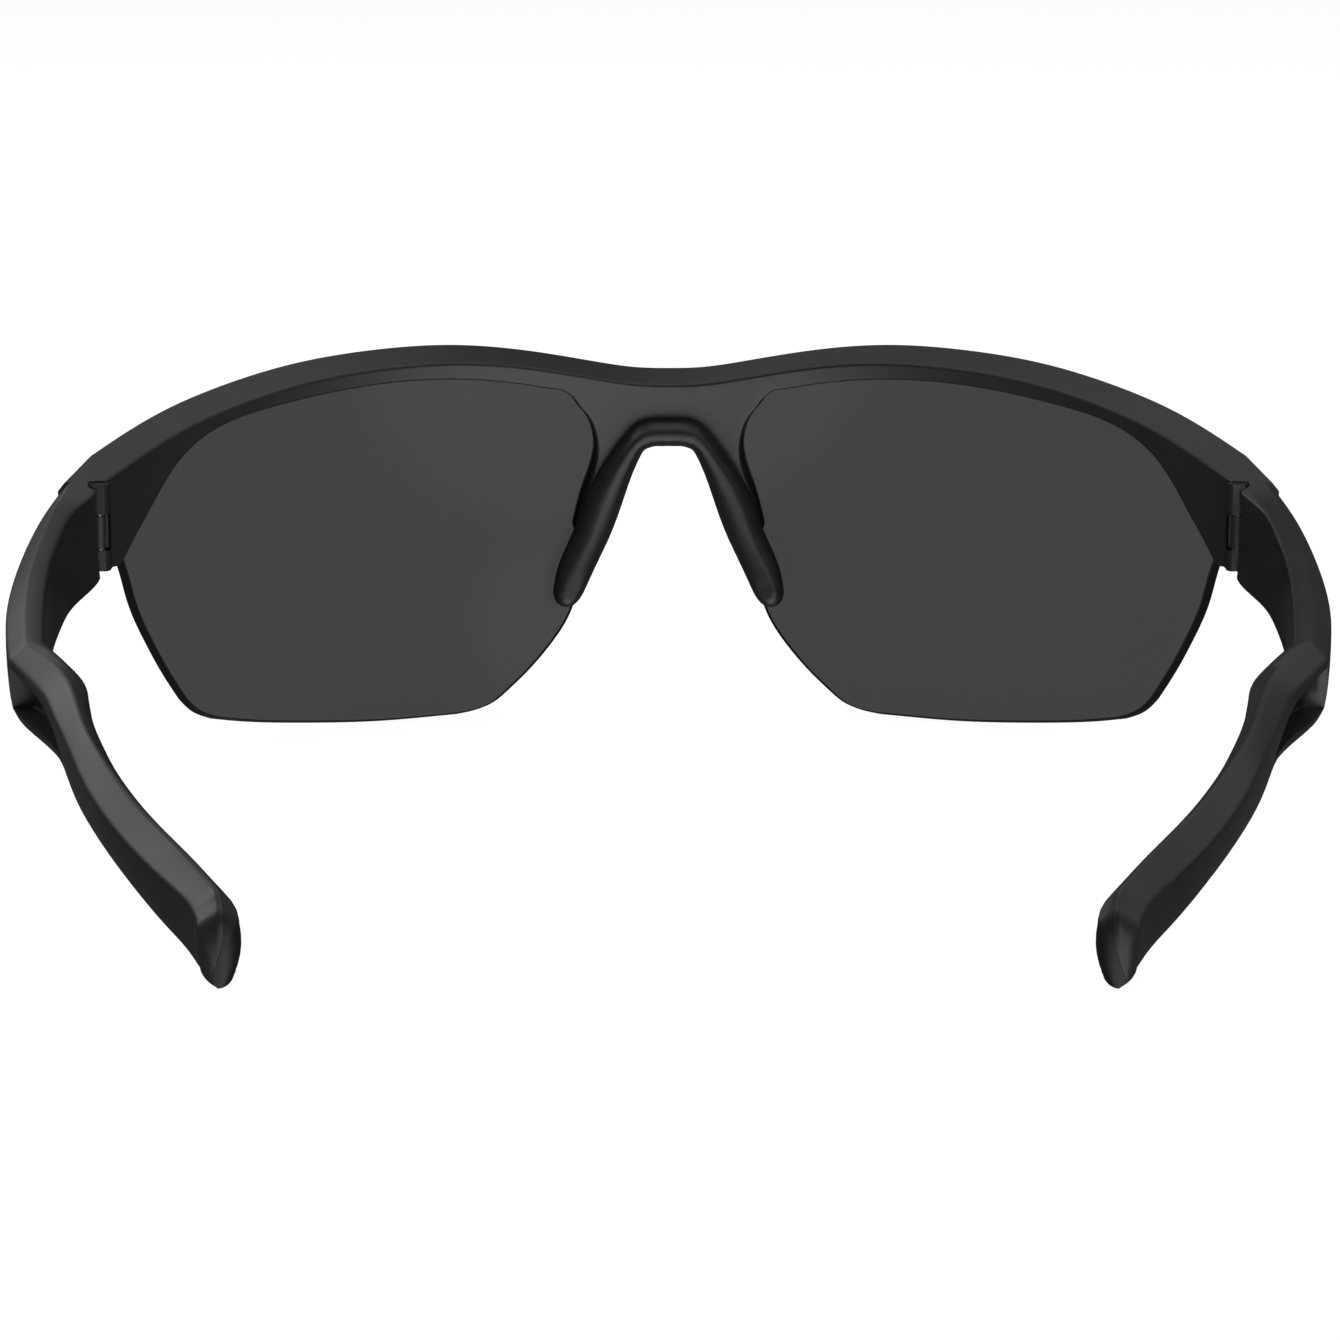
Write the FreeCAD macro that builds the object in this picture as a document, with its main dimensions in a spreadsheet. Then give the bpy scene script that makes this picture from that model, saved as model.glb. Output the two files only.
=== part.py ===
"""Wraparound sport sunglasses as a parametric FreeCAD document, in millimetres.

+X is the wearer's left, the lenses face -Y, the temple tips reach to +Y and +Z is up.
The glasses stand open on z = 0, on the lower lens edges and the temple tips, and the
origin is the centre of the footprint of their bounding box.
"""
import FreeCAD
import Part
import math
import os

Vector = FreeCAD.Vector
doc = FreeCAD.newDocument("sport_sunglasses")

# ---------------------------------------------------------------- driving dimensions
SIZES = {
    # The lenses, the frame and the nose pad are shells about one common point.
    "centre_y": 15.7,
    "centre_z": 24.55,
    "outline_radius": 85.0,
    "frame_outer_radius": 87.7,
    "frame_inner_radius": 82.3,
    "lens_outer_radius": 86.3,
    "lens_inner_radius": 84.5,
    "groove_clearance": 0.05,
    "pad_inner_radius": 79.2,
    "pad_outer_radius": 82.25,
    "core_inner_radius": 80.4,
    "core_outer_radius": 81.2,
    # Hinges: three-knuckle barrels standing at the rear end of each lug.
    "lug_end_y": -34.8,
    "lug_web_overlap": 1.4,
    "hinge_x": 65.15,
    "hinge_y": -34.1,
    "barrel_radius": 1.15,
    "tongue_radius": 1.0,
    "tongue_slot_radius": 1.27,
    "barrel_clearance": 0.12,
    "barrel_bottom_z": 22.7,
    "tongue_bottom_z": 25.25,
    "tongue_top_z": 29.05,
    "barrel_top_z": 32.75,
    "knuckle_gap": 0.2,
    "screw_radius": 0.6,
    "screw_head_radius": 0.85,
    "screw_head_height": 0.6,
    "screw_head_bottom_z": 22.9,
    "screw_top_z": 31.2,
    "screw_fit": 0.02,
    "head_fit": 0.05,
    "driver_slot_width": 0.3,
    "driver_slot_depth": 0.3,
    "tongue_bore_radius": 0.65,
    "insert_radius": 0.85,
    "insert_bottom_z": 29.25,
    "insert_top_z": 31.4,
    # Temples.
    "temple_front_y": -34.55,
    "temple_kink_y": 13.2,
    "temple_tip_y": 71.4,
    "grip_front_y": 19.6,
    "grip_parting": 0.3,
    "grip_foot_thickness": 1.3,
    "window_depth": 2.6,
    # A moulding gate mark stands on the lower edge of each lens.
    "gate_x": 44.6,
    "gate_width": 0.9,
    "gate_height": 1.0,
    "gate_foot_z": 0.85,
    "gate_inset": 0.5,
    "gate_front_y": -70.0,
    "gate_rear_y": -45.0,
    # Cutters reach past the walls they open by this much.
    "overshoot": 1.0,
    "recess_reach": 3.0,
}

sheet = doc.addObject("Spreadsheet::Sheet", "Sizes")
for row, (alias, value) in enumerate(SIZES.items(), start=1):
    sheet.set(f"A{row}", alias)
    sheet.set(f"B{row}", str(value))
    sheet.setAlias(f"B{row}", alias)
doc.recompute()


def size(alias):
    """Read one driving dimension from the sheet."""
    return float(sheet.get(alias))


CENTRE = Vector(0, size("centre_y"), size("centre_z"))

# ---------------------------------------------------------------- outlines of the front
# Outline points are (x, height above the centre) on the sphere of outline_radius.
BROW_TOP = [(0, 16.2), (3.5, 16.3), (8.3, 17.0), (13, 17.9), (17, 18.6), (25.5, 19.5),
            (34.5, 19.3), (43, 18.3), (51.5, 16.2), (57, 14.2), (62, 11.6), (66, 9.2),
            (70.5, 6.8)]
LUG_FOOT = [(70.5, -2.1), (65.1, -1.9)]
RIM_SIDE = [(65.1, -1.9), (63.7, 0.9), (62, 4.0), (60.3, 7.1), (58.4, 9.9), (56.2, 12.0),
            (52.9, 13.8), (48.3, 15.1), (43, 16.1), (35, 17.1), (26, 17.2), (17, 16.1),
            (14.5, 15.6)]
RIM_CORNER = [(14.5, 15.6), (13.2, 15.4), (12.2, 14.8), (10.9, 13.1)]
RIM_NOSE = [(10.9, 13.1), (9.75, 11.6), (9.15, 9.9), (8.9, 8.2), (9.0, 6.75), (9.5, 4.75),
            (10.3, 2.45), (10.95, 0.15), (11.45, -1.95)]
ARM_TIP = [(11.45, -1.95), (10.8, -3.1), (9.3, -2.7)]
ARM_INSIDE = [(9.3, -2.7), (7.5, 0.6), (6.3, 3.6), (5.4, 6.2), (3.8, 8.4), (2.2, 9.3), (0, 9.5)]

LENS_SIDE = [(64.3, 1.5), (63.8, -0.8), (63.2, -3.0), (62.3, -6.9), (60.4, -12.0),
             (58.7, -15.6), (56.9, -18.8)]
LENS_FOOT_CORNER = [(56.9, -18.8), (55.4, -20.5), (53.4, -21.6)]
LENS_FOOT = [(53.4, -21.6), (50.6, -22.3), (46, -23.1), (40.8, -23.7), (35, -24.1),
             (29, -24.1), (25.5, -24.0)]
LENS_NOSE_CORNER = [(25.5, -24.0), (23, -23.6), (21.2, -22.9), (19.5, -21.6)]
LENS_NOSE = [(19.5, -21.6), (17.6, -19.9), (14.4, -16.4), (12.1, -12.9), (10.9, -9.0),
             (10.5, -4.6), (10.3, -1.5), (8.7, 3.5), (7.4, 7.0), (7.1, 9.1), (7.5, 11.0),
             (8.8, 13.4)]
LENS_TOP_CORNER = [(8.8, 13.4), (10.1, 15.6), (11.8, 16.7), (13.6, 17.1)]
LENS_TOP = [(13.6, 17.1), (17, 17.5), (26, 18.4), (35, 18.2), (43, 17.2), (48.5, 16.2),
            (53.2, 14.9), (57, 13.0), (59.5, 10.6), (61.4, 7.8), (63.1, 4.6), (64.3, 1.5)]
LENS_MIDDLE = (36, -3)
GROOVE_GROWTH = 1.002

# The bevel and the flank of the lug run from nothing at the brow to the temple's own
# corners. Each line has a point (y, x, z) at the brow and one behind the lug.
LUG_TRIM = {"ridge": [(-43.0, 64.6, 37.3), (-34.0, 68.7, 33.4)],
            "bevel_foot": [(-43.0, 65.3, 36.4), (-34.0, 70.4, 31.3)],
            "flank_foot": [(-43.0, 65.4, 18.0), (-34.0, 70.0, 18.0)]}
LUG_TRIM_X = 78.0
LUG_TRIM_Z = 42.0

PAD_INSIDE = [(0, 8.6), (1.9, 8.55), (2.9, 8.2), (3.6, 7.2), (4.6, 4.9), (6.05, 0.7),
              (7.55, -3.2), (9.4, -7.0), (10.8, -9.9)]
PAD_FOOT = [(10.8, -9.9), (11.8, -11.3), (12.9, -11.8), (14.0, -11.3), (14.5, -9.9)]
PAD_OUTSIDE = [(14.5, -9.9), (14.1, -7.6), (12.9, -4.4), (11.75, -1.8), (10.6, 1.5),
               (8.2, 6.0), (5.6, 9.6), (3.8, 11.3), (2.2, 11.75), (0, 11.8)]
CORE_INSIDE = [(0, 9.7), (2.9, 9.4), (4.9, 6.8), (7.0, 2.2), (8.9, -3.0), (11.3, -7.6)]
CORE_OUTSIDE = [(12.4, -7.1), (10.1, -2.4), (8.0, 2.7), (5.8, 7.5), (3.4, 10.5), (0, 10.8)]

# ---------------------------------------------------------------- rails of the left temple
# Each rail is one long edge of the temple, with points (y, x, z).
FRONT_RAILS = {
    "inner_top": [(-34.6, 65.0, 32.9), (-32.6, 65.3, 32.2), (-30.4, 66.2, 31.5),
                  (-27.3, 67.1, 30.8),
                  (-19.3, 67.7, 29.3), (-12.3, 67.9, 27.9), (-3.3, 67.5, 26.2),
                  (4.7, 66.8, 24.6), (13.2, 65.8, 23.0)],
    "ridge": [(-34.6, 68.6, 32.75), (-31.8, 69.2, 31.7), (-24.3, 69.7, 30.1),
              (-13.3, 70.0, 27.9), (0.2, 69.4, 25.2), (13.2, 67.8, 22.7)],
    "outer_top": [(-34.6, 70.0, 31.2), (-31.3, 70.8, 30.1), (-23.3, 71.8, 28.0),
                  (-13.8, 72.1, 26.1), (-4.3, 71.9, 24.3), (4.2, 71.1, 22.7),
                  (13.2, 69.7, 20.9)],
    "outer_foot": [(-34.6, 69.6, 22.9), (-29.3, 70.6, 21.0), (-17.8, 71.3, 19.5),
                   (-4.3, 71.1, 17.5), (4.2, 70.6, 16.4), (13.2, 69.3, 15.3)],
    "inner_foot": [(-34.6, 64.8, 22.3), (-32.6, 65.1, 21.4), (-30.4, 65.9, 20.6),
                   (-27.3, 66.8, 20.0),
                   (-17.3, 67.7, 18.6), (-11.3, 67.8, 17.5), (0.7, 67.1, 15.7),
                   (13.2, 65.7, 13.9)],
}
REAR_RAILS = {
    "inner_top": [(13.2, 65.8, 23.0), (16.2, 64.2, 22.5), (19.7, 61.9, 21.3),
                  (22.2, 60.5, 20.4), (25.7, 59.7, 19.4), (31.7, 58.6, 18.2),
                  (39.2, 56.5, 16.6), (46.2, 54.1, 15.0), (52.2, 51.3, 13.3),
                  (58.2, 48.1, 11.6), (63.7, 44.6, 9.8), (67.5, 42.0, 8.2),
                  (70.0, 40.6, 6.2), (71.4, 40.9, 3.6)],
    "ridge": [(13.2, 67.8, 22.7), (19.2, 63.9, 21.5), (26.7, 61.2, 20.1),
              (34.7, 59.3, 18.5), (41.7, 57.0, 17.1), (54.2, 51.3, 13.7),
              (60.9, 47.2, 11.6), (66.7, 43.7, 9.6), (69.6, 42.6, 8.0),
              (71.4, 42.4, 4.8)],
    "outer_top": [(13.2, 69.7, 20.9), (16.7, 67.6, 20.1), (21.7, 65.1, 19.1),
                  (26.2, 63.8, 18.2), (32.2, 62.1, 17.0), (39.2, 60.1, 15.6),
                  (44.7, 58.4, 14.3), (54.7, 54.0, 11.5), (62.7, 49.1, 9.0),
                  (68.2, 45.6, 7.1), (70.0, 44.8, 6.0),
                  (71.4, 43.8, 4.2)],
    "outer_foot": [(13.2, 69.3, 15.3), (18.7, 67.6, 14.75), (23.2, 65.1, 13.9),
                   (26.5, 63.2, 13.1), (31.7, 61.5, 12.0), (39.2, 59.4, 10.4),
                   (45.9, 56.9, 8.8), (52.2, 54.2, 7.2), (57.7, 51.4, 5.5),
                   (63.0, 48.4, 3.8), (68.0, 45.5, 2.0), (70.0, 44.3, 1.0),
                   (71.4, 43.2, 0.4)],
    "inner_foot": [(13.2, 65.7, 13.9), (19.7, 62.0, 13.5), (26.2, 59.9, 12.5),
                   (39.2, 56.8, 10.0), (46.2, 54.4, 8.4), (58.2, 48.3, 4.7),
                   (65.2, 43.6, 1.9), (69.0, 41.2, 0.8), (71.4, 42.3, 0.0)],
}
# The window in the outer side of the temple: (y, lower edge z, upper edge z). Its cutter
# stands out of the side by WINDOW_REACH.
WINDOW_REACH = 4.0
WINDOW = [(13.4, 15.9, 20.2), (17.2, 15.7, 19.3), (22.2, 15.1, 18.0), (27.2, 14.2, 16.5),
          (31.4, 13.6, 14.3)]
FRONT_STATIONS = [size("temple_front_y"), -31.5, -27, -20, -12, -4, 4, 10, size("temple_kink_y")]
REAR_STATIONS = [size("temple_kink_y"), 16.2, 19.7, 22.5, 26.2, 31.7, 38, 44, 50, 56, 61, 65, 68,
                 70, size("temple_tip_y")]


# ---------------------------------------------------------------- helpers
def feature(name, shape):
    """A document object that holds a free-form shape."""
    part = doc.addObject("Part::Feature", name)
    part.Shape = shape
    return part


def bound(kind, name, expressions):
    """A parametric primitive whose properties follow expressions on the sheet."""
    part = doc.addObject(kind, name)
    for path, expression in expressions.items():
        part.setExpression(path, expression)
    return part


def place(part, x="0", y="0", z="0"):
    """Bind the position of a primitive to expressions on the sheet."""
    part.setExpression("Placement.Base.x", x)
    part.setExpression("Placement.Base.y", y)
    part.setExpression("Placement.Base.z", z)
    return part


def sphere(name, radius):
    """A full sphere about the common centre."""
    ball = bound("Part::Sphere", name, {"Radius": radius})
    return place(ball, "0", "Sizes.centre_y", "Sizes.centre_z")


def upright(name, radius, bottom, top):
    """A cylinder on the left hinge axis, between two heights."""
    post = bound("Part::Cylinder", name, {"Radius": radius, "Height": f"({top}) - ({bottom})"})
    return place(post, "Sizes.hinge_x", "Sizes.hinge_y", bottom)


def block(name, corner, opposite):
    """A box between two corners, each a triple of expressions on the sheet."""
    sides = dict(zip(("Length", "Width", "Height"),
                     (f"({b}) - ({a})" for a, b in zip(corner, opposite))))
    return place(bound("Part::Box", name, sides), *corner)


def cut(name, base, tool):
    """What is left of one shape outside another."""
    part = doc.addObject("Part::Cut", name)
    part.Base = base
    part.Tool = tool
    return part


def common(name, base, tool):
    """What two shapes share."""
    part = doc.addObject("Part::Common", name)
    part.Base = base
    part.Tool = tool
    return part


def fuse(name, shapes):
    """Several shapes made one."""
    part = doc.addObject("Part::MultiFuse", name)
    part.Shapes = shapes
    return part


def mirrored(name, source):
    """The same piece for the wearer's right side."""
    part = doc.addObject("Part::Mirroring", name)
    part.Source = source
    part.Base = Vector(0, 0, 0)
    part.Normal = Vector(1, 0, 0)
    return part


# ---------------------------------------------------------------- outline solids
def on_plane(point, distance):
    """Carry an outline point outward from the centre to the plane y = centre - distance."""
    x, up = point
    depth = math.sqrt(size("outline_radius") ** 2 - x * x - up * up)
    reach = distance / depth
    return CENTRE + Vector(x * reach, -distance, up * reach)


def edge(points, distance):
    """One smooth or straight edge of an outline, on a plane in front of the centre."""
    places = [on_plane(point, distance) for point in points]
    if len(places) == 2:
        return Part.makeLine(places[0], places[1])
    curve = Part.BSplineCurve()
    curve.interpolate(Points=places)
    return curve.toShape()


def joined(chains, distance):
    """A closed wire from chains of points, closed by a straight line where they part."""
    edges = []
    for index, chain in enumerate(chains):
        edges.append(edge(chain, distance))
        following = chains[(index + 1) % len(chains)][0]
        if chain[-1] != following:
            edges.append(edge([chain[-1], following], distance))
    return Part.Wire(edges)


def radial_solid(chains, near=30.0, far=100.0):
    """The solid swept by an outline along the rays from the common centre."""
    return Part.makeLoft([joined(chains, near), joined(chains, far)], True, True)


def both_halves(chains):
    """Complete half an outline, given from its top centre round to its lower centre."""
    flipped = [[(-x, up) for x, up in reversed(chain)] for chain in reversed(chains)]
    return chains + flipped


def grown(chain, factor, middle):
    """Scale an outline about a middle point."""
    return [(middle[0] + (x - middle[0]) * factor, middle[1] + (up - middle[1]) * factor)
            for x, up in chain]


# ---------------------------------------------------------------- temple lofts
def rail_curve(points):
    """A smooth curve through rail points, whose parameter is the y coordinate."""
    curve = Part.BSplineCurve()
    curve.interpolate(Points=[Vector(x, y, z) for y, x, z in points],
                      Parameters=[y for y, x, z in points])
    return curve


def polygon(corners):
    """A closed wire of straight edges."""
    return Part.makePolygon(corners + [corners[0]])


def temple_loft(rails, stations, corners):
    """Loft polygons whose corners run along the named rails."""
    curves = [rail_curve(rails[name]) for name in corners]
    sections = [polygon([curve.value(y) for curve in curves]) for y in stations]
    return Part.makeLoft(sections, True, False)


# ---------------------------------------------------------------- front shell pieces
def shell(name, outer, inner):
    """The space between two spheres about the common centre."""
    return cut(name, sphere(f"{name}_outside", outer), sphere(f"{name}_inside", inner))


def lens_chains(factor=1.0):
    """The edge chains of the left lens, scaled about its middle."""
    chains = [LENS_SIDE, LENS_FOOT_CORNER, LENS_FOOT, LENS_NOSE_CORNER, LENS_NOSE,
              LENS_TOP_CORNER, LENS_TOP]
    return [grown(chain, factor, LENS_MIDDLE) for chain in chains]


def make_lenses():
    """Two spherical polycarbonate lenses, free at their lower edges."""
    blank = shell("lens_shell", "Sizes.lens_outer_radius", "Sizes.lens_inner_radius")
    outline = feature("lens_outline", radial_solid(lens_chains()))
    trimmed = common("left_lens_trimmed", blank, outline)
    gate_shell = shell("gate_shell", "Sizes.lens_outer_radius - Sizes.gate_inset",
                       "Sizes.lens_inner_radius + Sizes.gate_inset")
    gate_post = block("gate_post",
                      ("Sizes.gate_x - Sizes.gate_width / 2", "Sizes.gate_front_y",
                       "Sizes.gate_foot_z"),
                      ("Sizes.gate_x + Sizes.gate_width / 2", "Sizes.gate_rear_y",
                       "Sizes.gate_foot_z + Sizes.gate_height"))
    gate = common("gate_mark", gate_shell, gate_post)
    left = fuse("left_lens", [trimmed, gate])
    return left, mirrored("right_lens", left)


def make_groove():
    """The channel that holds the covered edge of the left lens."""
    channel = shell("groove_shell", "Sizes.lens_outer_radius + Sizes.groove_clearance",
                    "Sizes.lens_inner_radius - Sizes.groove_clearance")
    outline = feature("groove_outline", radial_solid(lens_chains(GROOVE_GROWTH)))
    return common("left_groove", channel, outline)


def make_lug_barrel():
    """The knuckle post at the rear of the left lug, before the slot and the bores."""
    post = upright("lug_post", "Sizes.barrel_radius", "Sizes.barrel_bottom_z",
                   "Sizes.barrel_top_z")
    web = block("lug_web",
                ("Sizes.hinge_x - Sizes.barrel_radius",
                 "Sizes.lug_end_y - Sizes.lug_web_overlap", "Sizes.barrel_bottom_z"),
                ("Sizes.hinge_x + Sizes.barrel_radius", "Sizes.hinge_y",
                 "Sizes.barrel_top_z"))
    return fuse("left_lug_barrel", [post, web])


def make_lug_trim():
    """The stock taken off the left lug, so that it runs flush into the temple."""
    sections = []
    for points in zip(LUG_TRIM["ridge"], LUG_TRIM["bevel_foot"], LUG_TRIM["flank_foot"]):
        inner = [Vector(x, y, z) for y, x, z in points]
        y = inner[0].y
        outer = [Vector(LUG_TRIM_X, y, inner[-1].z), Vector(LUG_TRIM_X, y, LUG_TRIM_Z),
                 Vector(inner[0].x, y, LUG_TRIM_Z)]
        sections.append(polygon(inner + outer))
    return feature("left_lug_trim", Part.makeLoft(sections, True, True))


def make_lug_openings():
    """Everything cut out of the left lug: tongue slot, screw bore and insert pocket."""
    slot = upright("tongue_slot", "Sizes.tongue_slot_radius",
                   "Sizes.tongue_bottom_z - Sizes.knuckle_gap",
                   "Sizes.tongue_top_z + Sizes.knuckle_gap")
    bore = upright("screw_bore", "Sizes.screw_radius + Sizes.screw_fit",
                   "Sizes.barrel_bottom_z - Sizes.overshoot",
                   "Sizes.screw_top_z + Sizes.knuckle_gap")
    recess = upright("screw_head_recess", "Sizes.screw_head_radius + Sizes.head_fit",
                     "Sizes.barrel_bottom_z - Sizes.overshoot",
                     "Sizes.screw_head_bottom_z + Sizes.screw_head_height")
    pocket = upright("insert_pocket", "Sizes.insert_radius", "Sizes.insert_bottom_z",
                     "Sizes.insert_top_z")
    return fuse("left_lug_openings", [slot, bore, recess, pocket])


def make_frame():
    """Brow, bridge, lugs and nose arms in one nylon moulding."""
    blank = shell("frame_shell", "Sizes.frame_outer_radius", "Sizes.frame_inner_radius")
    half = [BROW_TOP, LUG_FOOT, RIM_SIDE, RIM_CORNER, RIM_NOSE, ARM_TIP, ARM_INSIDE]
    outline = feature("frame_outline", radial_solid(both_halves(half)))
    trimmed = common("frame_trimmed", blank, outline)
    reach = "Sizes.frame_outer_radius"
    behind = block("behind_lugs", (f"-{reach}", "Sizes.lug_end_y", "0"), (reach, reach, reach))
    trim = make_lug_trim()
    waste = fuse("frame_waste", [behind, trim, mirrored("right_lug_trim", trim)])
    ended = cut("frame_ended", trimmed, waste)
    barrel = make_lug_barrel()
    with_barrels = fuse("frame_with_barrels",
                        [ended, barrel, mirrored("right_lug_barrel", barrel)])
    groove = make_groove()
    openings = make_lug_openings()
    removed = fuse("frame_openings", [groove, mirrored("right_groove", groove), openings,
                                      mirrored("right_lug_openings", openings)])
    return cut("front_frame", with_barrels, removed)


def make_nose_pad():
    """One soft saddle over the bridge and its bendable metal core."""
    pad_half = [PAD_INSIDE, PAD_FOOT, PAD_OUTSIDE]
    pad_shell = shell("pad_shell", "Sizes.pad_outer_radius", "Sizes.pad_inner_radius")
    pad_outline = feature("pad_outline", radial_solid(both_halves(pad_half)))
    whole = common("nose_pad_whole", pad_shell, pad_outline)
    core_half = [CORE_INSIDE, CORE_OUTSIDE]
    core_shell = shell("core_shell", "Sizes.core_outer_radius", "Sizes.core_inner_radius")
    core_outline = feature("core_outline", radial_solid(both_halves(core_half)))
    core = common("nose_pad_core", core_shell, core_outline)
    return cut("nose_pad", whole, core), core


# ---------------------------------------------------------------- hinge hardware
def make_screw():
    """Hinge screw: slotted head below, shank up through the three knuckles."""
    head = upright("screw_head", "Sizes.screw_head_radius", "Sizes.screw_head_bottom_z",
                   "Sizes.screw_head_bottom_z + Sizes.screw_head_height")
    shank = upright("screw_shank", "Sizes.screw_radius", "Sizes.screw_head_bottom_z",
                    "Sizes.screw_top_z")
    body = fuse("screw_body", [head, shank])
    slot = block("driver_slot",
                 ("Sizes.hinge_x - Sizes.barrel_radius",
                  "Sizes.hinge_y - Sizes.driver_slot_width / 2",
                  "Sizes.screw_head_bottom_z - Sizes.overshoot"),
                 ("Sizes.hinge_x + Sizes.barrel_radius",
                  "Sizes.hinge_y + Sizes.driver_slot_width / 2",
                  "Sizes.screw_head_bottom_z + Sizes.driver_slot_depth"))
    left = cut("left_hinge_screw", body, slot)
    return left, mirrored("right_hinge_screw", left)


def make_insert():
    """Threaded brass insert moulded into the upper lug knuckle."""
    outside = upright("insert_outside", "Sizes.insert_radius", "Sizes.insert_bottom_z",
                      "Sizes.insert_top_z")
    bore = upright("insert_bore", "Sizes.screw_radius + Sizes.screw_fit",
                   "Sizes.insert_bottom_z - Sizes.overshoot",
                   "Sizes.screw_top_z + Sizes.knuckle_gap")
    left = cut("left_hinge_insert", outside, bore)
    return left, mirrored("right_hinge_insert", left)


# ---------------------------------------------------------------- temples
CORNERS = ["inner_top", "ridge", "outer_top", "outer_foot", "inner_foot"]
# The space cut out for the grip: its stations along the temple, how far below the ridge
# the parting line runs, and how far the space reaches past the temple on each side.
GRIP_STATION_COUNT = 11
GRIP_RIDGE_DROP = 0.2
GRIP_END_OVERSHOOT = 0.4
GRIP_SPACE_RISE = 6.0
GRIP_SPACE_WIDTH = 12.0


def window_cutter():
    """The blind window in the outer side, between the upper beam and the lower strut."""
    edge_curve = rail_curve(REAR_RAILS["outer_top"])
    sections = []
    for y, low, high in WINDOW:
        outer = edge_curve.value(y).x + WINDOW_REACH
        inner = edge_curve.value(y).x - size("window_depth")
        sections.append(polygon([Vector(inner, y, low), Vector(outer, y, low),
                                 Vector(outer, y, high), Vector(inner, y, high)]))
    return Part.makeLoft(sections, True, False)


def grip_side():
    """The space on the inner side of the parting surface between temple and grip."""
    ridge = rail_curve(REAR_RAILS["ridge"])
    foot = rail_curve(REAR_RAILS["inner_foot"])
    first = size("grip_front_y")
    last = size("temple_tip_y") + GRIP_END_OVERSHOOT
    inset = Vector(size("grip_parting"), 0, GRIP_RIDGE_DROP)
    thickness = Vector(size("grip_foot_thickness"), 0, 0)
    inward = Vector(-GRIP_SPACE_WIDTH, 0, 0)
    sections = []
    for index in range(GRIP_STATION_COUNT):
        y = first + (last - first) * index / (GRIP_STATION_COUNT - 1)
        top = ridge.value(y) - inset
        bottom = foot.value(y) + thickness
        rise = (top - bottom).normalize() * GRIP_SPACE_RISE
        sections.append(polygon([top + rise, bottom - rise, bottom - rise + inward,
                                 top + rise + inward]))
    return Part.makeLoft(sections, True, False)


def make_temple():
    """The left temple and the rubber grip on the inner side of its rear half."""
    front = feature("temple_front", temple_loft(FRONT_RAILS, FRONT_STATIONS, CORNERS))
    rear = feature("temple_rear", temple_loft(REAR_RAILS, REAR_STATIONS, CORNERS))
    arm = fuse("temple_arm", [front, rear])
    lower_recess = upright("lower_recess", "Sizes.barrel_radius + Sizes.barrel_clearance",
                           "Sizes.barrel_bottom_z - Sizes.recess_reach",
                           "Sizes.tongue_bottom_z")
    upper_recess = upright("upper_recess", "Sizes.barrel_radius + Sizes.barrel_clearance",
                           "Sizes.tongue_top_z", "Sizes.barrel_top_z + Sizes.recess_reach")
    recesses = fuse("knuckle_recesses", [lower_recess, upper_recess])
    cleared = cut("temple_cleared", arm, recesses)
    tongue = upright("tongue_barrel", "Sizes.tongue_radius", "Sizes.tongue_bottom_z",
                     "Sizes.tongue_top_z")
    with_tongue = fuse("temple_with_tongue", [cleared, tongue])
    bore = upright("tongue_bore", "Sizes.tongue_bore_radius",
                   "Sizes.tongue_bottom_z - Sizes.overshoot",
                   "Sizes.tongue_top_z + Sizes.overshoot")
    window = feature("window_space", window_cutter())
    opened = cut("temple_opened", with_tongue, fuse("temple_openings", [bore, window]))
    inner_side = feature("grip_space", grip_side())
    left = cut("left_temple", opened, inner_side)
    grip = common("left_temple_grip", opened, inner_side)
    return left, mirrored("right_temple", left), grip, mirrored("right_temple_grip", grip)


# ---------------------------------------------------------------- build and write
pieces = [make_frame()]
pieces += make_lenses()
pieces += make_nose_pad()
pieces += make_temple()
pieces += make_screw()
pieces += make_insert()
doc.recompute()

for item in doc.Objects:
    if "Invalid" in item.State or "Error" in item.State:
        raise RuntimeError(f"{item.Name} failed: {item.State}")
for piece in pieces:
    shape = piece.Shape
    if shape.isNull() or not shape.isValid():
        raise RuntimeError(f"{piece.Name} has no valid shape")
    if len(shape.Solids) != 1:
        raise RuntimeError(f"{piece.Name} has {len(shape.Solids)} solids")

os.makedirs("parts", exist_ok=True)
for piece in pieces:
    piece.Label = piece.Name
    piece.Shape.exportStep(f"parts/{piece.Label}.step")
    box = piece.Shape.optimalBoundingBox()
    print(f"{piece.Label}: {piece.Shape.Volume:.1f} mm3, x {box.XMin:.2f}..{box.XMax:.2f}, "
          f"y {box.YMin:.2f}..{box.YMax:.2f}, z {box.ZMin:.2f}..{box.ZMax:.2f}")
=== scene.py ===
"""Looks of the wraparound sport sunglasses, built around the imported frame.

Lengths are in millimetres in the outlines and rails, and in metres in the scene.
+X is the wearer's left, the lenses face -Y and the temple tips reach to +Y.
"""

import math

import bmesh
import bpy
import numpy as np
from mathutils import Matrix, Vector
from mathutils.geometry import delaunay_2d_cdt


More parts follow.
